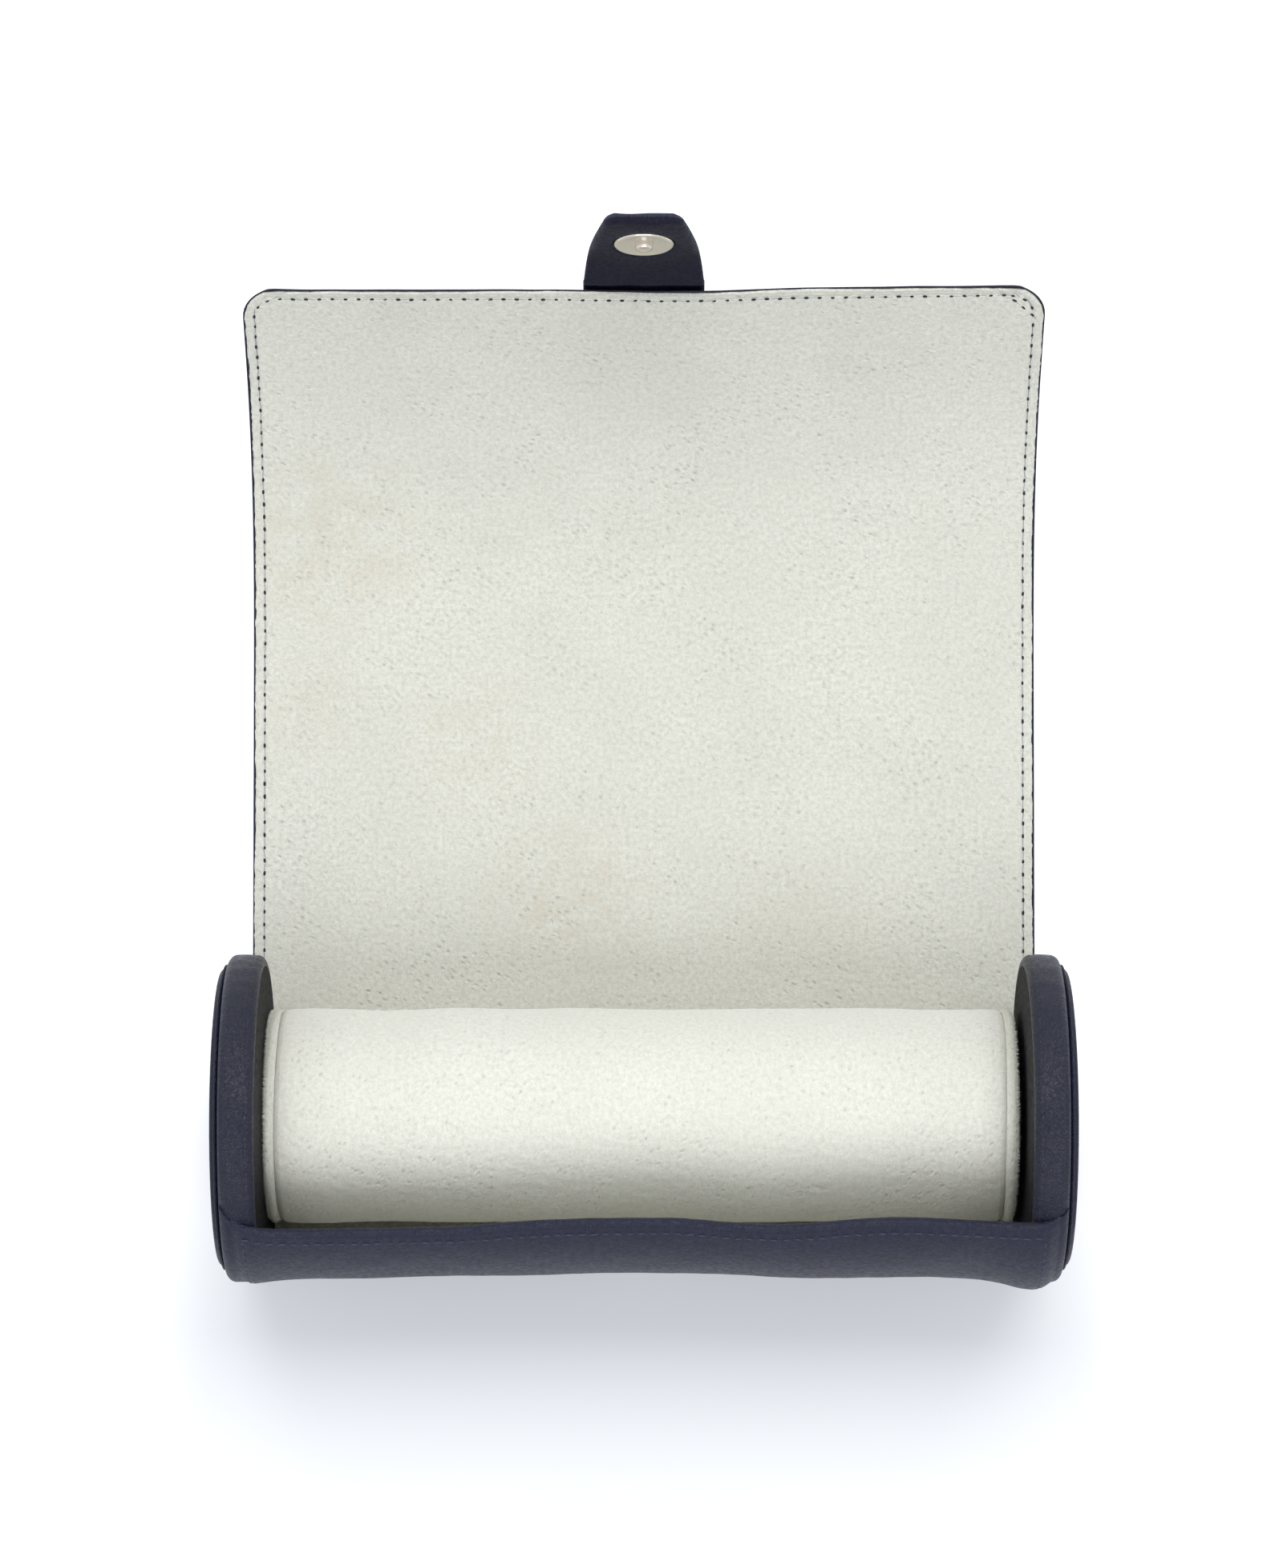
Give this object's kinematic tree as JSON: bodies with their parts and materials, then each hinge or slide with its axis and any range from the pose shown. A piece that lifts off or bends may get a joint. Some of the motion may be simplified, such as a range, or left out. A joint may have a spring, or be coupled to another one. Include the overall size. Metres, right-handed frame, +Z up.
{
  "type": "watch roll",
  "caption": "Round leather watch roll, open, with a loose suede roll pillow between two thick end caps and a long lined flap that wraps over and snaps shut.",
  "frame": {"origin": "on the table, under the roll's axis and midway between the end caps, in the flat on which the shell rests", "axes": "X runs along the roll, +Y points back along the open flap, +Z is up"},
  "size_m": [0.1982, 0.2486, 0.0783],
  "materials": {
    "navy_leather": "fine-grained smooth leather, satin",
    "facing_leather": "plain smooth leather, matt",
    "lining_suede": "pigskin suede, napped",
    "pillow_suede": "pigskin suede, napped",
    "board": "raw fibreboard",
    "tube_board": "raw card tube",
    "foam": "open-cell foam",
    "snap_metal": "polished nickel plate",
    "magnet": "plain sintered magnet"
  },
  "bodies": {
    "case": {"cap_core_left": "board", "cap_band_left": "navy_leather", "cap_pad_left": "foam", "cap_cover_left": "navy_leather", "cap_facing_left": "facing_leather", "cap_core_right": "board", "cap_band_right": "navy_leather", "cap_pad_right": "foam", "cap_cover_right": "navy_leather", "cap_facing_right": "facing_leather", "shell_leather": "navy_leather", "shell_board": "board", "shell_lining": "lining_suede", "lip_facing": "facing_leather", "snap_socket": "snap_metal", "snap_magnet": "magnet", "socket_washer": "snap_metal"},
    "flap_1": {"flap_leather_1": "navy_leather", "flap_lining_1": "lining_suede"},
    "flap_2": {"flap_leather_2": "navy_leather", "flap_lining_2": "lining_suede"},
    "flap_3": {"flap_leather_3": "navy_leather", "flap_lining_3": "lining_suede"},
    "flap_4": {"flap_leather_4": "navy_leather", "flap_lining_4": "lining_suede"},
    "flap_5": {"flap_leather_5": "navy_leather", "flap_lining_5": "lining_suede"},
    "flap_6": {"flap_leather_6": "navy_leather", "flap_lining_6": "lining_suede"},
    "flap_7": {"flap_leather_7": "navy_leather", "flap_lining_7": "lining_suede"},
    "flap_8": {"flap_leather_8": "navy_leather", "flap_lining_8": "lining_suede"},
    "flap_9": {"flap_leather_9": "navy_leather", "flap_lining_9": "lining_suede"},
    "flap_10": {"flap_leather_10": "navy_leather", "flap_lining_10": "lining_suede"},
    "flap_11": {"flap_leather_11": "navy_leather", "flap_lining_11": "lining_suede", "tab_base_outer": "navy_leather", "tab_base_inner": "facing_leather"},
    "tab_end": {"tab_end_outer": "navy_leather", "tab_end_inner": "facing_leather", "snap_stud": "snap_metal", "snap_pin": "snap_metal", "stud_washer": "snap_metal"},
    "pillow": {"pillow_core": "tube_board", "pillow_foam": "foam", "pillow_cover": "pillow_suede", "pillow_end_left": "pillow_suede", "pillow_end_right": "pillow_suede", "pillow_welt_left": "pillow_suede", "pillow_welt_right": "pillow_suede"}
  },
  "joints": [
    {"name": "flap_wrap", "type": "hinge", "parent": "case", "child": "flap_1", "pos_m": [0, 0.008, 0.00225], "axis": [1, 0, 0], "range_deg": [0, 21.36]},
    {"name": "flap_wrap_2", "type": "hinge", "parent": "flap_1", "child": "flap_2", "pos_m": [0, 0.02433, 0.00225], "axis": [1, 0, 0], "range_deg": [0, 26.5]},
    {"name": "flap_wrap_3", "type": "hinge", "parent": "flap_2", "child": "flap_3", "pos_m": [0, 0.04278, 0.00225], "axis": [1, 0, 0], "range_deg": [0, 27.12]},
    {"name": "flap_wrap_4", "type": "hinge", "parent": "flap_3", "child": "flap_4", "pos_m": [0, 0.06123, 0.00225], "axis": [1, 0, 0], "range_deg": [0, 25.8]},
    {"name": "flap_wrap_5", "type": "hinge", "parent": "flap_4", "child": "flap_5", "pos_m": [0, 0.07968, 0.00225], "axis": [1, 0, 0], "range_deg": [0, 26.81]},
    {"name": "flap_wrap_6", "type": "hinge", "parent": "flap_5", "child": "flap_6", "pos_m": [0, 0.09813, 0.00225], "axis": [1, 0, 0], "range_deg": [0, 25.04]},
    {"name": "flap_lap", "type": "hinge", "parent": "flap_6", "child": "flap_7", "pos_m": [0, 0.11658, 0.00225], "axis": [1, 0, 0], "range_deg": [0, 21.62]},
    {"name": "flap_lap_8", "type": "hinge", "parent": "flap_7", "child": "flap_8", "pos_m": [0, 0.13496, 0.00386], "axis": [1, 0, 0], "range_deg": [0, 12.28]},
    {"name": "flap_lap_9", "type": "hinge", "parent": "flap_8", "child": "flap_9", "pos_m": [0, 0.15261, 0.00922], "axis": [1, 0, 0], "range_deg": [0, 12.79]},
    {"name": "flap_lap_10", "type": "hinge", "parent": "flap_9", "child": "flap_10", "pos_m": [0, 0.16841, 0.01875], "axis": [1, 0, 0], "range_deg": [0, 13.17]},
    {"name": "flap_lap_11", "type": "hinge", "parent": "flap_10", "child": "flap_11", "pos_m": [0, 0.1819, 0.03133], "axis": [1, 0, 0], "range_deg": [0, 20.08]},
    {"name": "tab_bend", "type": "hinge", "parent": "flap_11", "child": "tab_end", "pos_m": [0, 0.20051, 0.05408], "axis": [1, 0, 0], "range_deg": [0, 10.86]},
    {"name": "pillow_turn", "type": "hinge", "parent": "case", "child": "pillow", "pos_m": [0, 0, 0.0278], "axis": [1, 0, 0], "continuous": true}
  ],
  "couplings": [
    {"joint": "flap_wrap_2", "follows": "flap_wrap", "ratio": 1.2402},
    {"joint": "flap_wrap_3", "follows": "flap_wrap", "ratio": 1.2696},
    {"joint": "flap_wrap_4", "follows": "flap_wrap", "ratio": 1.2075},
    {"joint": "flap_wrap_5", "follows": "flap_wrap", "ratio": 1.255},
    {"joint": "flap_wrap_6", "follows": "flap_wrap", "ratio": 1.172},
    {"joint": "flap_lap_8", "follows": "flap_lap", "ratio": 0.56783},
    {"joint": "flap_lap_9", "follows": "flap_lap", "ratio": 0.59152},
    {"joint": "flap_lap_10", "follows": "flap_lap", "ratio": 0.60919},
    {"joint": "flap_lap_11", "follows": "flap_lap", "ratio": 0.9289}
  ]
}
